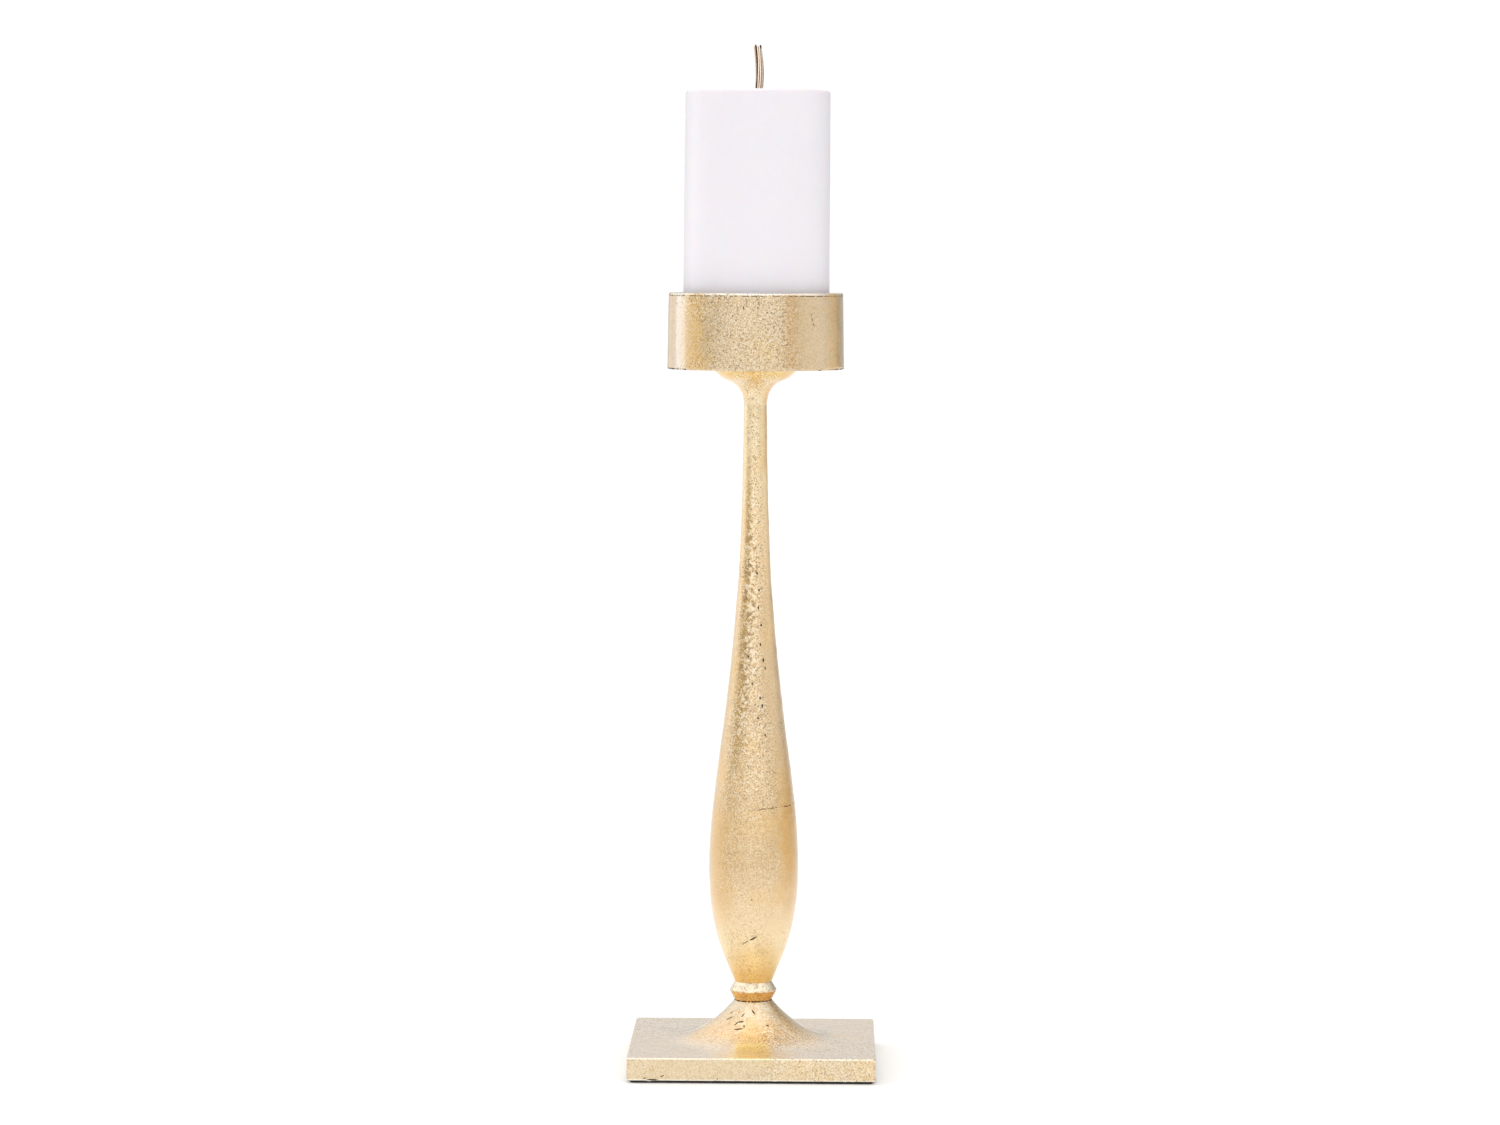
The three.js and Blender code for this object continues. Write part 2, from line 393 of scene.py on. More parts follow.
# Brass leaf: its usual tone, the warmer and cooler tones it takes in places, which up the sides of the
# turned pieces also paint the room's reflections and shade, the silvery tone of a painted highlight,
# the ochre of a painted shade, the bright tone of the foot's painted reflection on the plate before it,
# the glint of a raised speck, the shade between specks, the dark ground that shows where the leaf is
# broken and that also paints the shade at the sides of the cup's lower edge, and the specks of rust.
LEAF = (0.77, 0.545, 0.275)
LEAF_ORANGE = (0.85, 0.54, 0.17)
LEAF_DEEP = (0.66, 0.36, 0.10)
LEAF_AMBER = (0.67, 0.36, 0.045)
LEAF_TAWNY = (0.74, 0.46, 0.15)
LEAF_OCHRE_SHADE = (0.56, 0.33, 0.05)
LEAF_HIGHLIGHT_BAND = (0.66, 0.58, 0.51)
LEAF_FOOT_REFLECTION = (1.0, 0.84, 0.40)
LEAF_GLINT = (1.0, 0.93, 0.76)
LEAF_SHADE = (0.30, 0.18, 0.08)
GROUND = (0.045, 0.025, 0.012)
RUST = (0.75, 0.36, 0.07)

# The grain of the leaf: sizes of its facets, pebbles and coarse blotches, and the coat over it.
FACET = 0.54
PEBBLE = 0.95
BLOTCH = 2.2
COAT_IOR = 1.9

# How the leaf's tone changes with height on each piece.
# The pale tone on the rounded edges of the plate and of the cup's rim is a painted highlight, with some
# rubbed leaf.
EDGE_HIGHLIGHT_AND_WEAR = (0.99, 0.93, 0.78)
PLATE_FACE = (0.75, 0.585, 0.345)
# The plate's flat top is paler and pinker than its face: painted reflection of the white room across
# it.
PLATE_FLAT = (0.78, 0.62, 0.43)
BASE_BANDS = [
    (1.7, EDGE_HIGHLIGHT_AND_WEAR), (2.2, PLATE_FACE), (11.9, PLATE_FACE), (12.25, EDGE_HIGHLIGHT_AND_WEAR), (12.5, EDGE_HIGHLIGHT_AND_WEAR),
    (12.62, PLATE_FLAT), (18, (0.88, 0.61, 0.29)), (24, (0.84, 0.62, 0.34)), (30, (0.77, 0.64, 0.42)),
]
# Painted reflection: the ring's lower facet is deep orange for the light the gilt foot throws up into
# it, and its upper facet is paler, as it faces the bright room above.
RING_BANDS = [(37.6, (0.96, 0.50, 0.02)), (39.0, (0.86, 0.73, 0.52))]
STEM_BANDS = [
    (46, (0.93, 0.62, 0.18)), (54, (0.95, 0.71, 0.32)), (64, (0.92, 0.73, 0.41)),
    (80, (0.85, 0.63, 0.35)), (105, (0.71, 0.485, 0.225)), (150, (0.755, 0.53, 0.262)), (215, LEAF),
    (262, (0.87, 0.61, 0.30)), (325, (0.92, 0.72, 0.40)),
]
NECK_BANDS = [(343, (0.88, 0.69, 0.40)), (352, (0.80, 0.57, 0.26)), (358, (0.82, 0.52, 0.08))]
CUP_BANDS = [(362, (0.76, 0.57, 0.33)), (398.7, (0.76, 0.565, 0.33)), (399.3, EDGE_HIGHLIGHT_AND_WEAR)]


def spots(graph, size, share, radius):
    """Scattered round spots: about share of the cells of that size hold one."""
    chosen = graph.ramp(graph.cells(size, output="Color"), 1 - share, 1 - share + 0.01)
    near = graph.ramp(graph.cells(size), radius, radius * 0.6)
    return graph.times(chosen, near)


def cracks(graph, size, width, share, seed):
    """Fine branching cracks: the edges of warped cells, kept only in patches."""
    shift = graph.vector("ADD", graph.place, (seed * 37.0, seed * 11.0, seed * 5.0))
    warp = graph.node("ShaderNodeTexNoise")
    graph.put(warp.inputs["Vector"], shift)
    warp.inputs["Scale"].default_value = 0.35
    bent = graph.vector("ADD", shift, graph.vector("SCALE", warp.outputs["Color"], Scale=size * 0.5))
    edge = graph.cells(size, feature="DISTANCE_TO_EDGE", at=bent)
    line = graph.ramp(edge, width / size, width / size * 0.35)
    kept = graph.ramp(graph.noise(size * 1.6, detail=1, at=shift), 1 - share, 1 - share + 0.05)
    return graph.times(line, kept)


def lap(graph, level, slope):
    """A leaf's edge that runs round the piece at a height, rising by slope per millimetre to the
    right. Returns the dark dotted line along its right half and a mask that is 1 above it."""
    x, _, z = graph.axes()
    wander = graph.times(graph.minus(graph.noise(12, detail=3), 0.5), 3.0)
    off = graph.minus(graph.plus(graph.minus(z, level), wander), graph.times(x, slope))
    line = graph.ramp(graph.math("ABSOLUTE", off), 0.38, 0.1)
    broken = graph.ramp(graph.noise(1.5, detail=1), 0.46, 0.54)
    return graph.times(line, broken, graph.ramp(x, 0.0, 6.0)), graph.ramp(off, -0.5, 0.5)


def strongest(graph, masks):
    """The highest of several masks."""
    total = masks[0]
    for mask in masks[1:]:
        total = graph.math("MAXIMUM", total, mask)
    return total


def dent_mark(graph, angle_deg, height, radius, width, length, tilt_deg=0.0):
    """A small dark nick on a turned surface: at an angle round the axis (0 faces the front, positive
    to the right), a height and a radius. Length runs up the surface, turned to the right by tilt."""
    angle = math.radians(angle_deg)
    tilt = math.radians(tilt_deg)
    spot = Vector((radius * math.sin(angle), -radius * math.cos(angle), height))
    right = Vector((math.cos(angle), math.sin(angle), 0))
    up = Vector((0, 0, 1))
    across = right * math.cos(tilt) - up * math.sin(tilt)
    lengthways = up * math.cos(tilt) + right * math.sin(tilt)
    offset = graph.vector("SUBTRACT", graph.place, spot)
    sideways = graph.vector("DOT_PRODUCT", offset, across / width)
    along = graph.vector("DOT_PRODUCT", offset, lengthways / length)
    outward = graph.vector("DOT_PRODUCT", offset, spot.xy.to_3d().normalized() / 3.0)
    apart = graph.plus(*(graph.math("POWER", far, 2.0) for far in (sideways, along, outward)))
    return graph.ramp(graph.plus(apart, graph.noise(0.8, detail=1)), 1.6, 0.9)


def between(graph, bottom, top, over):
    """A mask that is 1 between two heights and falls to 0 over a distance inside them."""
    height = graph.axes()[2]
    return graph.times(graph.ramp(height, bottom, bottom + over), graph.ramp(height, top, top - over))


def streak(graph, angle_deg, width_deg, bottom, top, fade=0.2):
    """A mask along a line up a turned surface, at an angle round the axis, between two heights. It
    comes in and goes out over the share fade of its height."""
    width = math.radians(width_deg)
    off = graph.math("ABSOLUTE", graph.minus(graph.turn(), math.radians(angle_deg)))
    ragged = graph.plus(off, graph.times(graph.noise(5, detail=3), width))
    return graph.times(graph.ramp(ragged, width * 1.5, width * 0.5),
                       between(graph, bottom, top, (top - bottom) * fade))


def patch(graph, narrow, wide, back, front, top):
    """A mask of a patch on the plate in front of the foot, below the height top, for the painted
    reflection of the foot in the plate: from y = back, where it is narrow to each side of the middle,
    to y = front, where it is wide."""
    x, y, z = graph.axes()
    share = graph.math("DIVIDE", graph.minus(y, back), front - back)
    half = graph.plus(graph.times(share, wide - narrow), narrow)
    off = graph.minus(graph.math("ABSOLUTE", x), half)
    off = graph.plus(off, graph.times(graph.noise(4, detail=3), 3.0))
    return graph.times(graph.ramp(off, 3.0, -1.5), graph.ramp(share, 0.0, 0.4),
                       graph.ramp(z, PLATE_TOP - 0.4, PLATE_TOP - 0.2), graph.ramp(z, top, top - 2.0))


def sandy(graph, worn_deg, calm):
    """How grainy the leaf is: most on two opposite sides, at worn_deg and behind it, least between."""
    sides = graph.minus(graph.turn(), math.radians(worn_deg))
    sides = graph.math("COSINE", graph.times(sides, 2.0))
    uneven = graph.ramp(graph.noise(30, detail=2), 0.38, 0.62, low=-0.35, high=0.35)
    return graph.ramp(graph.plus(sides, uneven), -0.2, 0.85, low=calm)


def leaf(name, bands, laps=(), seams=(), marks=(), tone_and_light_streaks=(), crack_share=0.3, grain=1.0,
         worn_deg=-8.0, calm=0.3, coat_rough=0.2, rust=0.0, blotches=(), calm_below=(), creased=(),
         patches=()):
    """Satin brass leaf under a clear coat. bands are tones by height, laps are (height, slope) of leaf
    edges with warmer leaf below, and seams are (height, half width, share, strength at the front) of
    joints with grime in them; where the strength at the front is low, as at the cup's lower edge, the
    dark line is painted shade on the sides, where that edge reflects dark parts of the room. marks are
    as dent_mark takes them. tone_and_light_streaks are as streak takes them, then a tone and a
    strength; many of these bands are painted reflections and shade of the room up the sides of the
    turned pieces. patches are as patch does, then a tone, the painted reflection of the foot on the
    plate. blotches are places with coarse grain, as streak takes them. grain is the strength of the
    fine grain, and worn_deg and calm are as sandy takes them. calm_below is a pair of heights between
    which the grain comes in, and creased a pair between which the leaf lies in fine creases. rust is
    the share of rust specks."""
    graph = Graph(name)
    height = graph.axes()[2]
    facet = graph.cells(FACET, output="Color")
    pebble = graph.noise(PEBBLE, detail=1)
    cloud = graph.noise(26, detail=3, roughness=0.55)
    zone = sandy(graph, worn_deg, calm)
    up = graph.vector("DOT_PRODUCT", graph.node("ShaderNodeTexCoord").outputs["Normal"], (0, 0, 1))
    zone = graph.times(zone, graph.ramp(up, 0.75, 0.93, low=1.0, high=1.4))
    if calm_below:
        zone = graph.times(zone, graph.ramp(height, *calm_below, low=0.5))

    colour = graph.bands(height, bands)
    colour = graph.mix(graph.ramp(cloud, 0.5, 0.72, high=0.4), colour, LEAF_ORANGE)
    dark = []
    for level, slope in laps:
        line, above = lap(graph, level, slope)
        dark.append(line)
        below = graph.times(graph.minus(1.0, above), 0.25)
        below = graph.times(below, graph.ramp(height, level - 40, level))
        colour = graph.mix(below, colour, LEAF_ORANGE)
    deep = graph.ramp(graph.noise(9, detail=3, roughness=0.6), 0.58, 0.75, high=0.25)
    colour = graph.mix(deep, colour, LEAF_DEEP)
    # Bands of tone up the piece; many are painted reflections and shade of the room on its sides.
    for *where, tone, strength in tone_and_light_streaks:
        colour = graph.mix(graph.times(streak(graph, *where), strength), colour, tone)
    # The foot's painted reflection on the plate before it.
    for *where, tone in patches:
        colour = graph.mix(patch(graph, *where), colour, tone)
    if creased:
        fold = graph.times(between(graph, *creased, 3), cracks(graph, 5.0, 0.34, 0.5, 2), 0.45)
        colour = graph.mix(fold, colour, LEAF_DEEP)
    if rust:
        fleck = graph.times(spots(graph, 6.0, rust, 0.2), 0.9)
        colour = graph.mix(fleck, colour, RUST)

    grit = graph.plus(graph.times(facet, 0.7), graph.times(pebble, 0.3))
    for where in blotches:
        blot = graph.times(graph.minus(graph.noise(BLOTCH, detail=2), 0.5), 1.3)
        grit = graph.plus(grit, graph.times(blot, streak(graph, *where)))
    glint = graph.times(graph.ramp(grit, 0.52, 0.72), zone)
    shade = graph.times(graph.ramp(grit, 0.44, 0.22), zone)
    colour = graph.mix(graph.math("MULTIPLY", glint, 0.62 * grain, clamp=True), colour, LEAF_GLINT)
    colour = graph.mix(graph.math("MULTIPLY", shade, 0.85 * grain, clamp=True), colour, LEAF_SHADE)

    dark += [spots(graph, 4.0, 0.03, 0.09), cracks(graph, 13.0, 0.12, crack_share, 1)]
    # Dotted grime in the joints. Where the strength at the front is low, as at the cup's lower edge,
    # the line is painted shade on the sides, where that edge reflects dark parts of the room.
    for level, half, share, at_front in seams:
        near = graph.ramp(graph.math("ABSOLUTE", graph.minus(height, level)), half, half * 0.3)
        facing = graph.math("ABSOLUTE", graph.math("COSINE", graph.turn()))
        fainter = graph.ramp(facing, 0.35, 0.65, low=1.0, high=at_front)
        joint_dirt_and_shade = graph.ramp(graph.noise(1.6, detail=2), 0.62 - 0.25 * share, 0.68 - 0.25 * share)
        dark.append(graph.times(near, fainter, joint_dirt_and_shade))
    dark += [dent_mark(graph, *mark) for mark in marks]
    broken = strongest(graph, dark)
    colour = graph.mix(graph.times(broken, 0.95), colour, GROUND)

    relief = graph.minus(graph.times(pebble, zone), broken)
    rough = graph.ramp(graph.noise(7, detail=3), 0.3, 0.7, low=0.42, high=0.52)
    rough = graph.math("ADD", rough, graph.times(broken, 0.3), clamp=True)
    return graph.finish(
        base_color=colour, metallic=1.0, roughness=rough,
        normal=graph.bump(relief, 0.2, strength=0.8 * grain),
        coat_weight=graph.math("SUBTRACT", 1.0, graph.times(broken, 0.95), clamp=True),
        coat_normal=graph.bump(relief, 0.1, strength=0.6 * grain),
        coat_roughness=coat_rough, coat_ior=COAT_IOR,
    )


def wax():
    """White paraffin: smooth, faintly mottled, light passes a little way into it."""
    graph = Graph("white_wax")
    cloud = graph.noise(18, detail=4, roughness=0.6)
    colour = graph.mix(cloud, (0.805, 0.775, 0.813), (0.834, 0.803, 0.828))
    frost = graph.ramp(graph.noise(2.0, detail=4, roughness=0.7), 0.45, 0.75)
    colour = graph.mix(graph.times(frost, 0.25), colour, (0.854, 0.827, 0.867))
    height = graph.plus(graph.noise(5, detail=2), graph.times(graph.noise(0.7), 0.15))
    rough = graph.ramp(frost, 0.0, 1.0, low=0.36, high=0.46)
    return graph.finish(
        base_color=colour, roughness=rough, normal=graph.bump(height, 0.12, strength=0.4),
        subsurface_weight=0.35, subsurface_scale=0.004,
    )


def cotton():
    """Waxed cotton: cream strands, with painted shade in brown where they press together and on the
    dark core and strands that fill the wick's shadowed gaps, and soot on some of their ends.
    """
    graph = Graph("wick_cotton")
    stretched = graph.vector("MULTIPLY", graph.place, (1.0, 1.0, 0.12))
    fibre = graph.noise(0.3, detail=2, roughness=0.6, at=stretched)
    gap_shade = graph.node("ShaderNodeAttribute", attribute_name="gap_shade").outputs["Fac"]
    soot_and_shade = graph.node("ShaderNodeAttribute", attribute_name="soot_and_shade").outputs["Fac"]
    warmer = graph.ramp(graph.noise(3.0, detail=2), 0.35, 0.7)
    colour = graph.mix(warmer, (1.0, 0.84, 0.68), (1.0, 0.75, 0.55))
    colour = graph.mix(graph.ramp(fibre, 0.4, 0.7, high=0.6), colour, (1.0, 0.94, 0.83))
    # Painted shade: brown on the core and on the darker strands that fill the wick's shadowed gaps, and
    # dark brown where strands touch; the black is soot on the sooty ends.
    colour = graph.mix(graph.ramp(soot_and_shade, 0.0, 0.6), colour, (0.085, 0.036, 0.012))
    colour = graph.mix(graph.ramp(soot_and_shade, 0.6, 1.0), colour, (0.012, 0.010, 0.010))
    colour = graph.mix(graph.ramp(gap_shade, 0.25, 0.65), colour, (0.07, 0.026, 0.008))
    return graph.finish(
        base_color=colour, roughness=0.85, normal=graph.bump(fibre, 0.12, strength=0.8),
        sheen_weight=0.1,
    )


def felt():
    """Black pressed felt, with short pale fibres caught in it."""
    graph = Graph("black_felt")
    fibre = graph.noise(0.35, detail=4, roughness=0.75, distortion=1.5)
    lint = graph.ramp(graph.noise(1.3, detail=3, distortion=2.5), 0.66, 0.74, high=0.5)
    colour = graph.mix(fibre, (0.008, 0.008, 0.010), (0.030, 0.028, 0.034))
    colour = graph.mix(lint, colour, (0.10, 0.10, 0.11))
    return graph.finish(
        base_color=colour, roughness=0.95, normal=graph.bump(fibre, 0.3, strength=0.9),
        sheen_weight=0.4,
    )


def zinc():
    """Zinc-plated steel: bright with a faint spangle and turning lines."""
    graph = Graph("zinc_steel")
    squashed = graph.vector("MULTIPLY", graph.place, (0.15, 0.15, 1.0))
    lines = graph.noise(0.12, detail=2, at=squashed)
    dull = graph.ramp(graph.noise(4, detail=3), 0.55, 0.8, high=0.5)
    colour = graph.mix(graph.cells(1.4, output="Color"), (0.52, 0.53, 0.55), (0.64, 0.65, 0.66))
    colour = graph.mix(dull, colour, (0.36, 0.35, 0.33))
    return graph.finish(
        base_color=colour, metallic=1.0, roughness=graph.ramp(lines, 0.2, 0.8, low=0.26, high=0.42),
        normal=graph.bump(lines, 0.02, strength=0.5),
    )


def studio_floor():
    """Pale matt paper."""
    graph = Graph("studio_paper")
    colour = graph.mix(graph.noise(40, detail=3), (0.925, 0.925, 0.925), (0.945, 0.945, 0.945))
    return graph.finish(base_color=colour, roughness=0.9)


# ---------------------------------------------------------------- pieces of the holder

def fade(points, bottom, top, over):
    """1 between two heights, falling to 0 over a distance inside them."""
    return np.clip((points[:, 2] - bottom) / over, 0, 1) * np.clip((top - points[:, 2]) / over, 0, 1)


def square_ring(half, corner_r, side_steps=90, corner_steps=16):
    """Points round a rounded square, anticlockwise, closer together at its corners."""
    flat = half - corner_r
    ring = []
    for quarter in range(4):
        turn = math.radians(90 * quarter)
        rise = np.linspace(-flat, flat, side_steps + 1)[1:]
        side = np.column_stack([np.full(side_steps, half), rise])
        bend = np.radians(np.linspace(0, 90, corner_steps + 1))[1:]
        corner = np.column_stack([flat + corner_r * np.cos(bend), flat + corner_r * np.sin(bend)])
        spin = np.array([[math.cos(turn), math.sin(turn)], [-math.sin(turn), math.cos(turn)]])
        ring.append(np.vstack([side, corner]) @ spin)
    return np.vstack(ring)


def make_base():
    """The square plate with the flared foot on it, in one casting."""
    edge = square_ring(PLATE_HALF, PLATE_CORNER_R)
    angle = np.arctan2(edge[:, 1], edge[:, 0])
    circle = np.column_stack([np.cos(angle), np.sin(angle)])
    round_edge = [(math.sin(bend), math.cos(bend)) for bend in np.radians(np.linspace(0, 90, 7))[1:]]
    rings, weights = [], []

    def add(flat, height, weight):
        rings.append(np.column_stack([flat, np.full(len(flat), height)]))
        weights.append(weight)

    def inset(distance):
        return edge * (1 - distance / PLATE_HALF)

    for height in (POCKET_TOP, 22.0, FOOT_TOP + SPIGOT_HEIGHT):
        add(circle * BORE_R, height, 0)
    for height in (FOOT_TOP + SPIGOT_HEIGHT, FOOT_TOP):
        add(circle * SPIGOT_R, height, 0)
    for part in np.linspace(1, 0, 84):
        radius = FOOT_SPREAD_R - (FOOT_SPREAD_R - FOOT_NECK_R) * part
        add(circle * radius, PLATE_TOP + (FOOT_TOP - PLATE_TOP) * part**2, min(1.0, (1 - part) * 8))
    rim = inset(PLATE_EDGE_R)
    for part in np.linspace(0, 1, 56)[1:]:
        add(circle * FOOT_SPREAD_R * (1 - part) + rim * part, PLATE_TOP, 1)
    for out, down in round_edge:
        add(inset(PLATE_EDGE_R * (1 - out)), PLATE_TOP - PLATE_EDGE_R * (1 - down), 1)
    for height in np.linspace(PLATE_TOP - PLATE_EDGE_R, PAD_TOP + PLATE_EDGE_R, 22)[1:]:
        add(edge, height, 1)
    for down, out in round_edge:
        add(inset(PLATE_EDGE_R * (1 - out)), PAD_TOP + PLATE_EDGE_R * (1 - down), 0.5)
    for part in np.linspace(0, 1, 6)[1:]:
        add(rim * (1 - part) + circle * POCKET_R * part, PAD_TOP, 0)
    add(circle * POCKET_R, POCKET_TOP, 0)
    piece = skin("base_casting", np.array(rings), closed=True)
    emboss(piece, np.array(weights), len(edge), base_relief)
    # The rings run up the bore and down the outside, so up to here the normals point inward.
    piece.data.flip_normals()
    limit = PLATE_HALF * MM
    for vertex in piece.data.vertices:
        vertex.co.x = min(max(vertex.co.x, -limit), limit)
        vertex.co.y = min(max(vertex.co.y, -limit), limit)
    finish_mesh(piece)
    return piece


def base_relief(points):
    """Depth into the casting, less than 0 where it stands proud: slow unevenness, wrinkles in the
    leaf on the foot, burrs along the plate's edges and a lump near its front left corner."""
    radius = np.hypot(points[:, 0], points[:, 1])
    across = np.abs(points[:, :2]).max(1)
    foot = np.clip((38 - radius) / 14, 0, 1)
    wave = 0.05 * ripple(points, 30, 11) + 0.018 * ripple(points, 7, 12)
    stretched = points * np.array([1.0, 1.0, 0.35])
    wrinkle = 0.05 * foot * np.clip(ripple(stretched, 4.2, 13) - 0.6, 0, 1.5)
    edge = np.clip((across - (PLATE_HALF - 1.2)) / 1.0, 0, 1)
    near_rim = np.clip(1 - np.abs(points[:, 2] - PLATE_TOP) / 1.4, 0, 1)
    near_sole = np.clip(1 - np.abs(points[:, 2] - PAD_TOP) / 1.6, 0, 1)
    burr = edge * (near_rim * 0.25 + near_sole) * np.clip(ripple(points, 3.0, 14) - 1.25, 0, 0.6)
    lump = np.exp(-((points[:, 0] + 52) / 3.2)**2 - ((points[:, 2] - PAD_TOP) / 1.0)**2)
    lump *= points[:, 1] < -PLATE_HALF + 2
    relief = wave + wrinkle
    on_side = across > PLATE_HALF - PLATE_EDGE_R
    relief = np.where(on_side, 0.35 * wave - 0.06, relief)
    relief = np.minimum(relief, np.where(across > PLATE_HALF - 2, 0.0, 1.0))
    return relief - 0.5 * burr - 0.35 * lump * (1 + 0.5 * ripple(points, 2.0, 15))


def make_ring():
    """The knop ring: two cones back to back, its edge slightly blunt."""
    socket_r = SPIGOT_R + SPIGOT_GAP
    socket_top = FOOT_TOP + SPIGOT_HEIGHT + SPIGOT_GAP
    spigot_top = RING_TOP + SPIGOT_HEIGHT
    rise = math.degrees(math.atan2(RING_EDGE_R - RING_END_R, RING_TOP - RING_EDGE_Z))
    fall = math.degrees(math.atan2(RING_EDGE_R - RING_END_R, RING_EDGE_Z - FOOT_TOP))
    nose = arc((RING_EDGE_R - RING_BLUNT_R, RING_EDGE_Z), RING_BLUNT_R, -fall, rise, 8)
    profile = outline(
        (straight((RING_END_R - 0.25, FOOT_TOP), (RING_END_R, FOOT_TOP + 0.2), 0.15), 0),
        (straight((RING_END_R, FOOT_TOP + 0.2), nose[0], 0.3), 1),
        (nose, 1),
        (straight(nose[-1], (RING_END_R, RING_TOP - 0.2), 0.3), 1),
        (straight((RING_END_R, RING_TOP - 0.2), (RING_END_R - 0.25, RING_TOP), 0.15), 0),
        (straight((SPIGOT_R, RING_TOP), (SPIGOT_R, spigot_top), 1), 0),
        (straight((BORE_R, spigot_top), (BORE_R, socket_top), 3), 0),
        (straight((socket_r, socket_top), (socket_r, FOOT_TOP), 1), 0),
    )

    def relief(points):
        wave = 0.03 * ripple(points, 9, 21) + 0.02 * ripple(points, 2.5, 22)
        pit = 0.12 * np.clip(ripple(points, 1.8, 23) - 1.5, 0, 1)
        return (wave - pit) * fade(points, FOOT_TOP, RING_TOP, 0.6) - 0.02

    return turned("knop_ring_turned", profile, 200, relief)


# Heights of leaf edges on the stem that stand out a little, each with a seed for its wandering.
BALUSTER_LEDGES = [(134, 33), (205, 34), (278, 36)]


def make_baluster():
    """The stem, from its slim neck down to the belly. Only the rod's bore is open inside it."""
    curve = smooth(BALUSTER_OUTLINE, 0.62)
    socket_r = SPIGOT_R + SPIGOT_GAP
    socket_top = RING_TOP + SPIGOT_HEIGHT + SPIGOT_GAP
    profile = outline(
        (curve, 1),
        (straight((BORE_R, BALUSTER_TOP), (BORE_R, socket_top), 40), 0),
        (straight((socket_r, socket_top), (socket_r, RING_TOP), 3), 0),
    )

    def relief(points):
        wave = 0.05 * ripple(points, 26, 31) + 0.022 * ripple(points, 8, 32)
        ledge = 0.0
        for level, seed in BALUSTER_LEDGES:
            off = points[:, 2] - level + 2.0 * ripple(points * np.array([1, 1, 0.2]), 30, seed)
            ledge = ledge - 0.035 * np.tanh(off / 0.6) * np.exp(-(off / 14)**2)
        fold = 0.03 * np.clip(ripple(points * np.array([1, 1, 0.3]), 3.4, 35) - 1.2, 0, 1)
        return (wave + ledge + fold) * fade(points, RING_TOP, BALUSTER_TOP, 2.5)

    return turned("baluster_stem", profile, 196, relief)


def make_neck():
    """The trumpet collar under the cup."""
    curve = smooth(NECK_OUTLINE, 0.3)
    profile = outline(
        (curve, 1),
        (straight((NECK_LIP_R, NECK_TOP - 0.4), (NECK_LIP_R - 0.15, NECK_TOP), 0.2), 0),
        (straight((BORE_R, NECK_TOP), (BORE_R, BALUSTER_TOP), 6), 0),
    )

    def relief(points):
        wave = 0.03 * ripple(points, 12, 41) + 0.018 * ripple(points, 4, 42)
        return wave * fade(points, BALUSTER_TOP, NECK_TOP, 1.2) - 0.01

    return turned("neck_collar", profile, 220, relief)


def make_cup():
    """The drum-shaped cup, its rim and lower edge rounded and a little ragged."""
    floor_top = NECK_TOP + CUP_FLOOR
    hole_r = BORE_R + 0.1
    lower = (CUP_BOTTOM_R - CUP_EDGE_R, NECK_TOP + CUP_EDGE_R)
    upper = (CUP_RIM_R - CUP_EDGE_R, CUP_TOP - CUP_EDGE_R)
    inner = (CUP_INNER_R + 0.5, CUP_TOP - 0.5)
    corner = (CUP_INNER_R - 1.2, floor_top + 1.2)
    profile = outline(
        (straight((hole_r, NECK_TOP), (lower[0], NECK_TOP), 2.5), 0.3),
        (arc(lower, CUP_EDGE_R, -90, 0, 7), 1),
        (straight((CUP_BOTTOM_R, lower[1]), (CUP_RIM_R, upper[1]), 0.62), 1),
        (arc(upper, CUP_EDGE_R, 0, 90, 7), 1),
        (straight((upper[0], CUP_TOP), (inner[0], CUP_TOP), 0.25), 1),
        (arc(inner, 0.5, 90, 180, 4), 1),
        (straight((CUP_INNER_R, inner[1]), (CUP_INNER_R, corner[1]), 1.2), 0.6),
        (arc(corner, 1.2, 0, -90, 5), 0.5),
        (straight((corner[0], floor_top), (hole_r + CUP_FLOOR, floor_top), 1.5), 0.3),
    )

    def relief(points):
        angle = np.arctan2(points[:, 1], points[:, 0])
        wave = 0.05 * ripple(points, 34, 51) + 0.016 * ripple(points, 8, 52)
        wave += 0.05 * np.cos(2 * angle + 0.6)
        low_edge = np.clip(1 - np.abs(points[:, 2] - NECK_TOP) / 1.3, 0, 1)
        rim = np.clip(1 - np.abs(points[:, 2] - CUP_TOP) / 1.1, 0, 1)
        chip = (low_edge + 0.7 * rim) * np.clip(ripple(points, 2.6, 53) - 0.9, 0, 1)
        outer = np.hypot(points[:, 0], points[:, 1]) > CUP_RIM_R - 2
        return wave * np.clip((points[:, 2] - NECK_TOP) / 2, 0, 1) - 0.05 - 0.22 * chip * outer

    return turned("cup_drum", profile, 480, relief)


# M6 fasteners. Every thread follows one helix, so that the nut's ridges lie in the rod's grooves.
M6_PITCH = 1.0
M6_DEPTH = 0.5
THREAD_STEP = 0.125
TIP_CHAMFER = 0.6
LOWER_THREAD = 26
UPPER_THREAD = 16
NUT_ACROSS_FLATS = 10.0
NUT_CHAMFER = 0.6
WASHER_EDGE_R = 0.35
KEY_ACROSS_FLATS = 4.0
KEY_DEPTH = 2.2


def levels(start, end, spacing):
    """Heights about every spacing, both ends included."""
    return np.linspace(start, end, round(abs(end - start) / spacing) + 1)


def thread(height, around):
    """Depth of an M6 thread round the ring at one height."""
    turn = (height / M6_PITCH - np.linspace(0, 1, around, endpoint=False)) % 1
    return M6_DEPTH * np.clip(1.3 * (1 - np.abs(2 * turn - 1)) - 0.15, 0, 1)


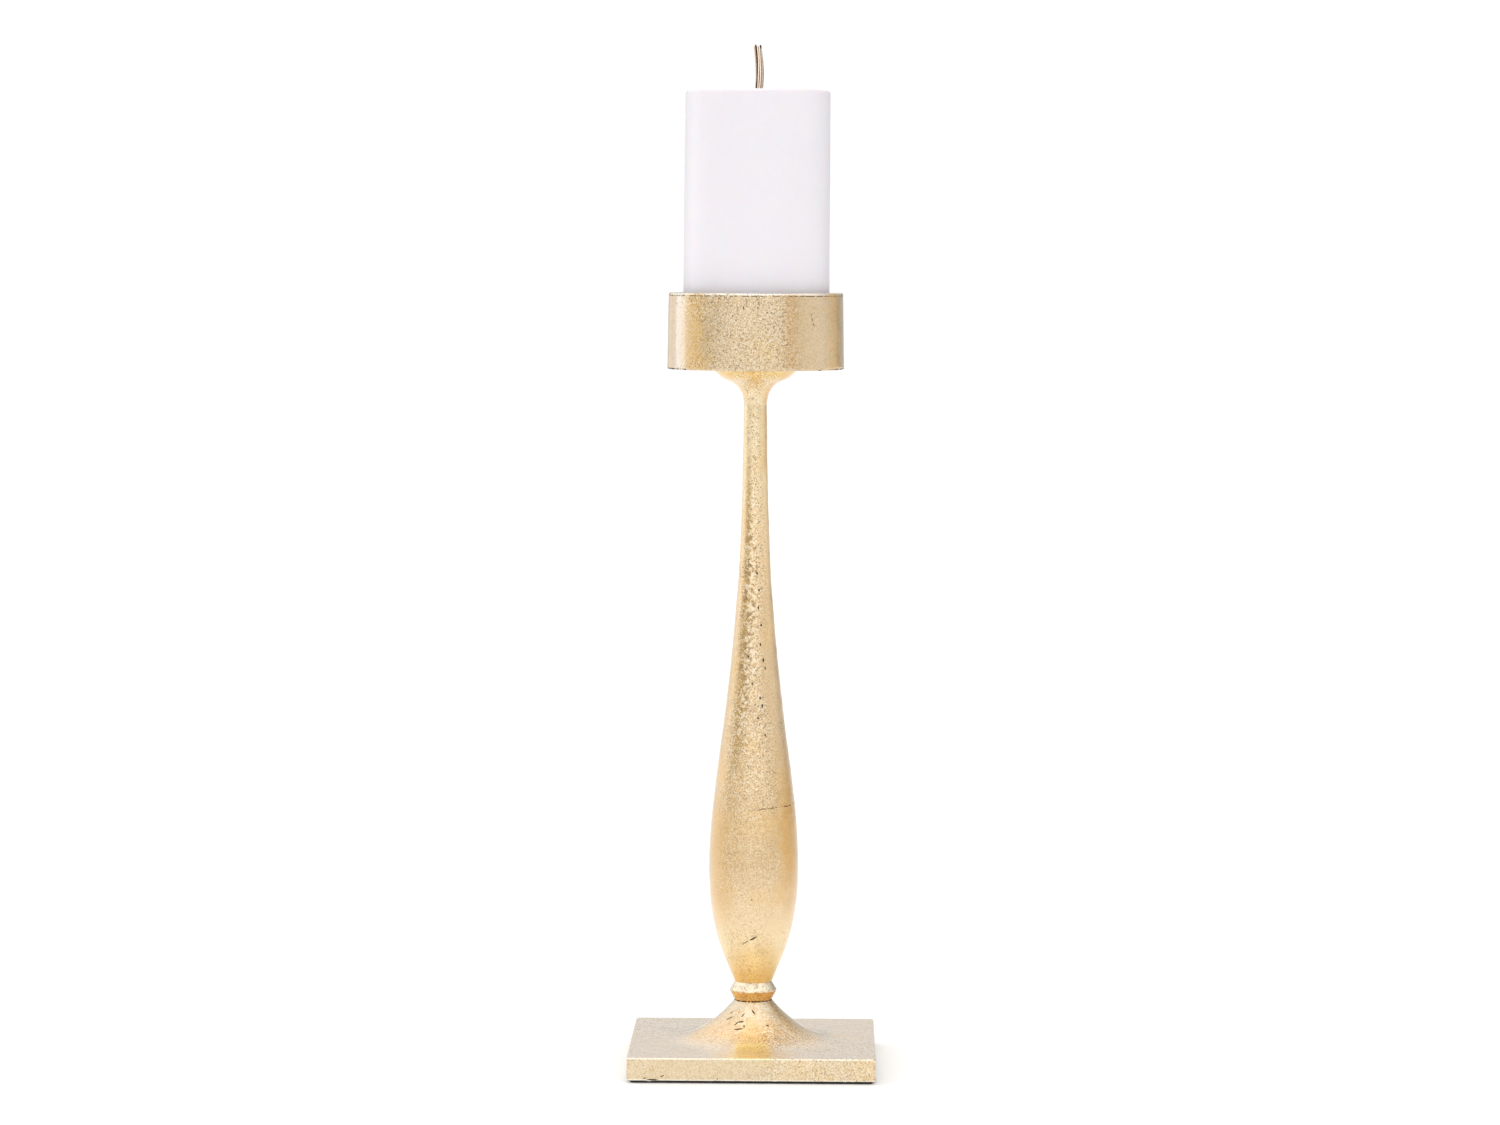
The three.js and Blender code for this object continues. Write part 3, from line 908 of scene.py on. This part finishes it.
def hexagon(across_flats, around):
    """Distance from the middle to a hexagon's edge, at even angles round it."""
    angle = np.linspace(0, 2 * math.pi, around, endpoint=False)
    return across_flats / 2 / np.cos(angle % (math.pi / 3) - math.pi / 6)


def fastener(name, rings, around, closed):
    piece = skin(name, round_axis(rings, around), closed)
    finish_mesh(piece, sharp_deg=35)
    return piece


def make_rod():
    """The tie rod: threaded at both ends, with chamfered tips."""
    bottom, top, around = low("tie_rod"), high("tie_rod"), 48
    lower, upper = bottom + LOWER_THREAD, top - UPPER_THREAD
    rings = []
    for height in [*levels(bottom, lower, THREAD_STEP), *levels(upper, top, THREAD_STEP)]:
        depth = thread(height, around) * np.clip(max(lower - height, height - upper) / M6_PITCH, 0, 1)
        tip = TIP_CHAMFER - min(height - bottom, top - height)
        rings.append((ROD_R - np.maximum(depth, tip), height))
    return fastener("tie_rod_threaded", rings, around, closed=False)


def make_nut():
    """The hexagon nut under the plate: chamfered corners and a threaded bore."""
    bottom, top, around = low("base_nut"), high("base_nut"), 96
    flats = hexagon(NUT_ACROSS_FLATS, around)
    rings = []
    for height in [*levels(bottom, bottom + NUT_CHAMFER, 0.1), *levels(top - NUT_CHAMFER, top, 0.1)]:
        cone = NUT_ACROSS_FLATS / 2 - 0.1 + 1.73 * min(height - bottom, top - height)
        rings.append((np.minimum(flats, cone), height))
    for height in levels(top, bottom, THREAD_STEP):
        rings.append((BORE_R - 1.2 * thread(height, around), height))
    return fastener("hexagon_nut", rings, around, closed=True)


def make_washer():
    """The stamped washer, its upper edges rounded by the punch."""
    bottom, middle = low("base_washer"), high("base_washer") - WASHER_EDGE_R
    rings = [(BORE_R, bottom), (WASHER_R, bottom)]
    rings += [*arc((WASHER_R - WASHER_EDGE_R, middle), WASHER_EDGE_R, 0, 90)]
    rings += [*arc((BORE_R + WASHER_EDGE_R, middle), WASHER_EDGE_R, 90, 180)]
    return fastener("flat_washer", rings, 96, closed=True)


def make_screw():
    """The countersunk screw in the cup's floor, with a hexagonal socket in its head."""
    bottom, top, edge_r, around = low("cup_screw"), high("cup_screw"), reach("cup_screw"), 48
    rings = []
    for height in levels(bottom, NECK_TOP, THREAD_STEP):
        depth = thread(height, around) * np.clip((NECK_TOP - height) / M6_PITCH, 0, 1)
        rings.append((ROD_R - np.maximum(depth, TIP_CHAMFER + bottom - height), height))
    key = hexagon(KEY_ACROSS_FLATS, around)
    rings += [(edge_r - 0.25, top - 0.25), (edge_r - 0.2, top - 0.1), (edge_r - 0.35, top),
              (key + 0.25, top), (key, top - 0.2), (key, top - KEY_DEPTH),
              (key * 0.4, top - KEY_DEPTH - 0.5)]
    return fastener("cup_screw_countersunk", rings, around, closed=False)


def make_felt():
    """The felt pad under the plate, cut by hand: its edge wavers and is softly rounded."""
    outer = square_ring(PAD_HALF, PLATE_CORNER_R, side_steps=80, corner_steps=8)
    rings = []
    section = ((14, 0), (0.25, 0), (0.05, 0.15), (0, 0.4), (0, 0.9), (0.1, PAD_TOP), (14, PAD_TOP))
    for inset, height in section:
        flat = outer * (1 - inset / PAD_HALF)
        rings.append(np.column_stack([flat, np.full(len(flat), height)]))
    rings = np.array(rings)
    fuzz = np.clip(0.12 + 0.1 * ripple(rings.reshape(-1, 3), 2.2, 61), 0, 0.35).reshape(rings.shape[:2])
    rings[1:6, :, :2] *= (1 - fuzz[1:6] / PAD_HALF)[:, :, None]
    piece = skin("felt_pad_cut", rings, closed=False)
    finish_mesh(piece)
    return piece


# ---------------------------------------------------------------- candle and wick

CANDLE_LEAN = 0.0045
DISH_DEPTH = 1.1
DISH_SLOPE = 9
LIP_HEIGHT = 1.5
LIP_WIDTH = 1.1


def make_candle():
    """The pillar candle: a slight hand-poured lean, a soft top edge, a dish and a lip at the wick."""
    lower = (CANDLE_BOTTOM_R - CANDLE_EDGE_R, CANDLE_BOTTOM + CANDLE_EDGE_R)
    upper = (CANDLE_TOP_R - CANDLE_EDGE_R, CANDLE_TOP - CANDLE_EDGE_R)
    radius = np.linspace(upper[0], WICK_R, 40)
    inward = np.clip((upper[0] - radius) / DISH_SLOPE, 0, 1)
    sag = DISH_DEPTH * inward**2 * (3 - 2 * inward)
    lip = LIP_HEIGHT * np.exp(-(radius - WICK_R) / LIP_WIDTH)
    top = np.column_stack([radius, CANDLE_TOP - sag + lip])
    profile = outline(
        (straight((WICK_R, CANDLE_BOTTOM), (lower[0], CANDLE_BOTTOM), 4), 0),
        (arc(lower, CANDLE_EDGE_R, -90, 0, 8), 0.5),
        (straight((CANDLE_BOTTOM_R, lower[1]), (CANDLE_TOP_R, upper[1]), 1.4), 1),
        (arc(upper, CANDLE_EDGE_R, 0, 90, 8), 1),
        (top, 1),
        (straight((WICK_R, CANDLE_TOP - 3), (WICK_R, CANDLE_BOTTOM + 3), 30), 0),
    )

    def relief(points):
        return 0.05 * ripple(points, 40, 71) + 0.02 * ripple(points, 12, 72) - 0.12

    return turned("pillar_candle_wax", profile, 260, relief, shape=lean)


def lean(piece):
    """Shears a piece of the candle sideways, more the higher it is."""
    for vertex in piece.data.vertices:
        vertex.co.x += CANDLE_LEAN * (vertex.co.z - CANDLE_BOTTOM * MM)


# The wick's strands: direction from its middle (0 faces the front), distance, radius, and how dark it
# is, which is painted shade: the dark core in the middle and the darker strands stand for the shadowed
# gaps in the wick.
STRANDS = [
    (-84, 1.86, 0.30, 0.0), (-48, 1.66, 0.36, 0.6), (-21, 1.56, 0.33, 0.0), (13, 1.56, 0.33, 0.0),
    (36, 1.50, 0.27, 0.45), (64, 1.58, 0.29, 0.1), (95, 1.94, 0.31, 0.5), (132, 1.50, 0.42, 0.1),
    (176, 1.48, 0.42, 0.0), (-138, 1.50, 0.42, 0.05), (0, 0.0, 1.12, 0.6),
]
TALLEST_STRAND = 1
SOOTY_ENDS = (1, 4, 5)
WICK_TWIST_PITCH = 420.0
PLY_PITCH = 6.0
PLIES = 3
GAP_REACH = 0.13


def make_wick():
    """The wick: a bundle of plied strands, hardly twisted, that bows and leans above the wax."""
    rng = np.random.default_rng(81)
    bottom, top = CANDLE_BOTTOM, WICK_TOP
    height = np.concatenate([np.linspace(bottom, CANDLE_TOP - 6, 60, endpoint=False),
                             np.linspace(CANDLE_TOP - 6, top, 110)])
    free = np.clip((height - CANDLE_TOP) / (top - CANDLE_TOP), 0, 1)
    sunk = 1 - np.clip((height - bottom) / (CANDLE_TOP - bottom), 0, 1)
    middle_x = 1.02 + 0.4 * np.sin(math.pi * free) - 0.8 * free**2 - 0.9 * sunk
    twist = 2 * math.pi * (height - CANDLE_TOP) / WICK_TWIST_PITCH
    around = 18
    angle = np.linspace(0, 2 * math.pi, around, endpoint=False)
    centres, sizes = [], []
    for facing, distance, radius, _ in STRANDS:
        x, y = distance * math.sin(math.radians(facing)), -distance * math.cos(math.radians(facing))
        spread = 1 + 0.12 * np.clip(free - 0.7, 0, 1)
        sway = 0.06 * np.sin(height / rng.uniform(2.5, 4.5) + rng.uniform(0, 6))
        shift = rng.uniform(0, 0.9)
        centres.append(np.column_stack([
            middle_x + spread * (x * np.cos(twist) - y * np.sin(twist)) + sway,
            spread * (x * np.sin(twist) + y * np.cos(twist)),
            np.where(height > CANDLE_TOP, height - shift * free, height),
        ]))
        sizes.append(radius)
    centres[TALLEST_STRAND][-1, 2] = top
    parts = []
    for number, (centre, size, (_, _, _, soot_and_shade)) in enumerate(zip(centres, sizes, STRANDS)):
        ply = 2 * math.pi * height / PLY_PITCH + number
        lobes = size * (0.9 + 0.1 * np.abs(np.cos(PLIES / 2 * (angle[None] - ply[:, None]))))
        rings = np.stack([centre[:, :1] + lobes * np.cos(angle), centre[:, 1:2] + lobes * np.sin(angle),
                          np.broadcast_to(centre[:, 2:], lobes.shape)], axis=-1)
        rings[-1, :, :2] = centre[-1, :2] + (rings[-1, :, :2] - centre[-1, :2]) * 0.8
        strand = skin(f"wick_strand_{number}", rings, closed=False)
        others = [(centres[k], sizes[k]) for k in range(len(STRANDS)) if k != number]
        # Painted shade where strands touch and on the darker strands and core, and soot on some ends.
        store(strand, "gap_shade", gap_depth(rings, others))
        soot = np.clip((free - 0.90) / 0.06, 0, 1) if number in SOOTY_ENDS else 0 * free
        store(strand, "soot_and_shade", np.repeat(np.maximum(soot, soot_and_shade), around).reshape(rings.shape[:2]))
        parts.append(strand)
    wick = join("wick_bundle", parts)
    finish_mesh(wick, sharp_deg=60)
    return wick


def gap_depth(rings, others):
    """1 where a strand's surface lies against one of the other strands, 0 away from them: the mask of
    the painted shade between strands.
    """
    nearest = np.full(rings.shape[:2], 9.0)
    for centre, size in others:
        away = np.linalg.norm(rings[:, :, :2] - centre[:, None, :2], axis=-1) - size
        nearest = np.minimum(nearest, away)
    return np.clip(1 - nearest / GAP_REACH, 0, 1)


def store(strand, name, values):
    """Keeps a value for each point of a strand, and the last ring's mean for its two end middles."""
    values = np.concatenate([values.ravel(), [values[0].mean(), values[-1].mean()]])
    attribute = strand.data.attributes.new(name, "FLOAT", "POINT")
    attribute.data.foreach_set("value", values.astype(np.float32))


def join(name, parts):
    """One piece of several, with the first one's data."""
    with bpy.context.temp_override(active_object=parts[0], selected_editable_objects=parts):
        bpy.ops.object.join()
    parts[0].name = name
    parts[0].data.name = name
    return parts[0]


# ---------------------------------------------------------------- studio

def make_floor():
    """A wide sheet of pale paper under the object."""
    half = 6.0
    corners = [(-half, -half, 0), (half, -half, 0), (half, half, 0), (-half, half, 0)]
    mesh = bpy.data.meshes.new("studio_floor")
    mesh.from_pydata(corners, [], [(0, 1, 2, 3)])
    floor = bpy.data.objects.new("studio_floor", mesh)
    bpy.context.scene.collection.objects.link(floor)
    floor.location.z = -0.0002
    floor.data.materials.append(studio_floor())


# Brightness of the room by direction in degrees: 0 is the camera's side and positive is to its right.
# One list for the level of the object, one for 30 degrees above it, then 60 degrees and overhead.
ROOM_LEVEL = [
    (-180, 0.5), (-150, 0.6), (-132, 0.8), (-105, 0.8), (-88, 0.4), (-68, 0.08), (-30, 0.52), (0, 0.56),
    (30, 0.4), (46, 0.08), (75, 0.6), (95, 0.88), (120, 0.32), (138, 0.1), (158, 0.45), (180, 0.5),
]
ROOM_RAISED = [
    (-180, 1.15), (-135, 1.1), (-90, 1.5), (-45, 1.45), (0, 1.8), (45, 1.65), (90, 1.05),
    (135, 0.15), (180, 1.15),
]
ROOM_HIGH = 1.0
ROOM_OVERHEAD = 3.0
SEEN_WHITE = 1.05


def make_room():
    """A white room lit softly from above, brighter and darker from place to place; the camera sees
    it plain white."""
    world = bpy.data.worlds.new("studio_room")
    bpy.context.scene.world = world
    graph = RoomGraph(world)
    azimuth = graph.math("DEGREES", graph.turn())
    rise = graph.math("DEGREES", graph.math("ARCSINE", graph.axes()[2]))

    def round_room(levels):
        brightest = max(value for _, value in levels)
        greys = [(degrees, (value / brightest,) * 3) for degrees, value in levels]
        return graph.times(graph.bands(azimuth, greys), brightest)

    brightness = round_room(ROOM_LEVEL)
    for start, above in ((0, round_room(ROOM_RAISED)), (30, ROOM_HIGH), (60, ROOM_OVERHEAD)):
        share = graph.share(rise, start, start + 30)
        kept = graph.times(brightness, graph.minus(1.0, share))
        brightness = graph.plus(kept, graph.times(above, share))
    lit = world.node_tree.nodes["Background"]
    seen = graph.node("ShaderNodeBackground")
    for background, strength in ((lit, brightness), (seen, SEEN_WHITE)):
        graph.put(background.inputs["Color"], (1, 1, 1, 1))
        graph.put(background.inputs["Strength"], strength)
    choose = graph.node("ShaderNodeMixShader")
    seen_by_camera = graph.node("ShaderNodeLightPath").outputs["Is Camera Ray"]
    for socket, value in zip(choose.inputs, (seen_by_camera, lit.outputs[0], seen.outputs[0])):
        graph.put(socket, value)
    graph.put(world.node_tree.nodes["World Output"].inputs["Surface"], choose.outputs[0])


def make_lamp(name, azimuth_deg, distance, height, width, tall, power):
    """A softbox at a direction round the object (0 is the camera's side), facing the stem."""
    light = bpy.data.lights.new(name, "AREA")
    light.shape = "RECTANGLE"
    light.size, light.size_y = width, tall
    light.energy = power
    lamp = bpy.data.objects.new(name, light)
    bpy.context.scene.collection.objects.link(lamp)
    angle = math.radians(azimuth_deg)
    lamp.location = (distance * math.sin(angle), -distance * math.cos(angle), height)
    aim = Vector((0, 0, 0.3)) - lamp.location
    lamp.rotation_euler = aim.to_track_quat("-Z", "Y").to_euler()
    lamp.visible_camera = False


def make_camera():
    """The camera, in front of the object and a little to its right."""
    data = bpy.data.cameras.new("camera")
    data.lens, data.sensor_width = LENS, SENSOR
    data.clip_start, data.clip_end = 0.05, 50
    camera = bpy.data.objects.new("camera", data)
    bpy.context.scene.collection.objects.link(camera)
    turn = math.radians(CAMERA_AZIMUTH)
    spot = (CAMERA_DISTANCE * math.sin(turn), -CAMERA_DISTANCE * math.cos(turn), CAMERA_HEIGHT)
    camera.matrix_world = (
        Matrix.Translation(spot)
        @ Matrix.Rotation(turn - math.radians(CAMERA_PAN), 4, "Z")
        @ Matrix.Rotation(math.radians(90 - CAMERA_PITCH), 4, "X")
        @ Matrix.Rotation(math.radians(CAMERA_ROLL), 4, "Z")
    )
    bpy.context.scene.camera = camera


# ---------------------------------------------------------------- the scene

make_camera()
make_room()
make_floor()
make_lamp("strip_left", azimuth_deg=-114.5, distance=1.4, height=0.46, width=0.56, tall=0.34, power=0.6)
bpy.context.scene.view_settings.view_transform = "Standard"

# Nicks and cracks: angle round the axis, height, radius, half width, half length and tilt.
CUP_R = (CUP_BOTTOM_R + CUP_RIM_R) / 2
CUP_MARKS = [
    (-64, 394.6, CUP_R, 0.35, 0.45, 20), (-62.4, 393.4, CUP_R, 0.3, 0.4),
    (-7.2, 392.6, CUP_R, 0.3, 1.1, -8), (8.2, 390.2, CUP_R, 0.4, 0.35),
    (39.5, 389.2, CUP_R, 0.25, 0.8, -10), (40.2, 386.6, CUP_R, 0.28, 0.9, -15),
    (41.6, 384.0, CUP_R, 0.3, 0.8, -35), (150, 380, CUP_R, 0.3, 0.8, 15), (-120, 372, CUP_R, 0.35, 0.5),
    (-79, 399.2, CUP_RIM_R, 1.4, 0.5), (-71, 398.4, CUP_RIM_R, 0.6, 0.35),
    (80, 399.2, CUP_RIM_R, 1.2, 0.45), (-52, 361.0, CUP_BOTTOM_R, 1.2, 0.4),
    (47, 360.9, CUP_BOTTOM_R, 1.5, 0.35),
]
BELLY_MARKS = [
    (0.5, 67.6, 19.0, 0.42, 2.6, 62), (-12, 65.4, 18.3, 0.2, 2.4, 55), (-1.5, 88.2, 22.4, 0.45, 0.4),
    (-18, 93, 22.7, 0.3, 0.3), (160, 96, 23.0, 0.4, 0.5), (100, 75, 20.5, 0.25, 1.8, 40),
]
SHAFT_MARKS = [
    (9, 255.7, 8.4, 0.45, 0.9), (15, 247, 9.0, 0.5, 0.8), (12, 238, 9.6, 0.4, 1.1),
    (20, 229, 10.4, 0.5, 0.8), (17, 219, 11.2, 0.4, 1.0), (23, 211, 11.9, 0.55, 1.2),
    (27, 206.8, 12.4, 0.45, 0.8), (13, 191.7, 14.2, 0.5, 0.9), (17, 187.6, 14.7, 0.5, 1.2),
    (8, 181.5, 15.4, 0.45, 0.8), (21, 172.7, 16.4, 0.4, 0.8), (-15, 213, 11.8, 0.5, 0.6),
    (-4, 199, 13.2, 0.45, 0.6),
]
FOOT_MARKS = [
    (-25, 23.2, 19.8, 0.36, 1.4, 40), (-18.5, 24.1, 18.7, 0.38, 1.7, 85),
    (-12, 22.4, 20.9, 0.32, 0.9, -30), (-19, 20.9, 22.7, 0.34, 2.8, 82),
    (-43, 25.2, 17.6, 0.32, 2.4, 60), (-19, 27.0, 15.4, 0.34, 1.2, 35),
    (1.5, 28.6, 13.9, 0.38, 1.5, -40), (-48, 27.5, 15.0, 0.3, 1.3, 35),
    (22, 22.5, 20.8, 0.35, 0.9, -60), (150, 22, 21.0, 0.4, 2.4, 70), (-150, 26, 16.5, 0.35, 1.5, 30),
    (-38.3, 1.7, 80.6, 0.45, 3.2, 90), (-35.5, 3.6, 77.7, 0.3, 1.2, 55),
    (-40.5, 2.5, 83.2, 0.3, 0.8, 80),
]

holder_pieces = [
    (make_base(), "base", leaf(
        "brass_leaf_base", BASE_BANDS, seams=[(FOOT_TOP, 0.35, 0.8, 1.0)], marks=FOOT_MARKS, grain=0.85,
        worn_deg=50, calm=0.5, coat_rough=0.12, rust=0.1, creased=(13.5, 35),
        # The deep band at 64 degrees is painted shade on the foot's right side.
        tone_and_light_streaks=[(64, 18, 15, 36, LEAF_DEEP, 0.6), (27, 20, 12.9, 26, LEAF_AMBER, 0.7),
                 (58, 26, 18, 40, LEAF_ORANGE, 0.7), (-66, 26, 13.2, 21, LEAF_ORANGE, 0.6),
                 (68, 26, 13.2, 21, LEAF_ORANGE, 0.5)],
        # The bright patch is the foot's painted reflection on the plate.
        patches=[(8.5, 12.5, -18, -62, 16.5, LEAF_FOOT_REFLECTION)])),
    (make_ring(), "knop_ring", leaf(
        "brass_leaf_ring", RING_BANDS, seams=[(FOOT_TOP, 0.4, 0.8, 1.0)], crack_share=0.35, calm=0.8,
        grain=0.85, coat_rough=0.14, blotches=[(0, 120, 36, 46)])),
    (make_baluster(), "baluster", leaf(
        "brass_leaf_stem", STEM_BANDS, laps=[(134.4, 0.11)], marks=BELLY_MARKS + SHAFT_MARKS,
        coat_rough=0.3,
        # Painted shade: the ochre band at -29 degrees, where the stem reflects a dark part of the room.
        # The bands at -64 to -48 and at 58 to 60 degrees are painted reflections that warm and darken
        # the stem's two sides.
        tone_and_light_streaks=[(-29, 19, 140, 325, LEAF_OCHRE_SHADE, 1.0), (58, 32, 66, 178, 0.45, LEAF_AMBER, 1.0),
                 (-48, 34, 62, 152, 0.4, LEAF_TAWNY, 0.8), (60, 30, 305, 350, LEAF_AMBER, 0.5),
                 (60, 28, 100, 138, LEAF_AMBER, 0.7), (-64, 18, 106, 138, LEAF_TAWNY, 0.5),
                 (128, 12, 120, 320, LEAF_DEEP, 0.6)],
        blotches=[(-14, 24, 165, 310), (-26, 18, 150, 290), (-2, 30, 198, 275), (165, 24, 120, 300)],
        calm_below=(90, 180), creased=(46, 74))),
    (make_neck(), "neck_flare", leaf(
        "brass_leaf_neck", NECK_BANDS, seams=[(BALUSTER_TOP, 0.4, 0.2, 1.0)],
        # The two bands are painted shade on the flare's two sides.
        tone_and_light_streaks=[(60, 30, 335, 362, LEAF_AMBER, 0.7), (-62, 20, 335, 362, LEAF_ORANGE, 0.5)])),
    (make_cup(), "candle_cup", leaf(
        "brass_leaf_cup", CUP_BANDS, marks=CUP_MARKS, crack_share=0.22, worn_deg=-12, coat_rough=0.09,
        # The seam at the lower edge, weak at the front and back, is painted shade on the cup's sides.
        seams=[(398.5, 0.32, 0.7, 1.0), (NECK_TOP + 0.5, 0.6, 0.9, 0.15)],
        # The bands in front, from -77 to 64 degrees, are painted reflections of the room's bright and
        # dark parts; the silvery band at -61 degrees is a painted highlight from the strip lamp.
        tone_and_light_streaks=[(-42, 14, 330, 430, LEAF_ORANGE, 0.75), (24, 9, 330, 430, LEAF_DEEP, 0.4),
                 (-61, 12, 330, 430, LEAF_HIGHLIGHT_BAND, 0.7), (-77, 9, 330, 430, (1.0, 0.76, 0.44), 0.9),
                 (64, 13, 330, 430, (1.0, 0.68, 0.30), 0.8), (160, 15, 330, 430, LEAF_DEEP, 0.5)])),
]
for piece, node, material in holder_pieces:
    place(piece, node, "holder", material)

pad = place(make_felt(), "felt_pad", "holder", felt())

place(make_candle(), "candle", "pillar_candle", wax())
place(make_wick(), "wick", "pillar_candle", cotton())

steel = zinc()
place(make_rod(), "tie_rod", "holder", steel)
place(make_nut(), "base_nut", "holder", steel)
place(make_washer(), "base_washer", "holder", steel)
place(make_screw(), "cup_screw", "holder", steel)
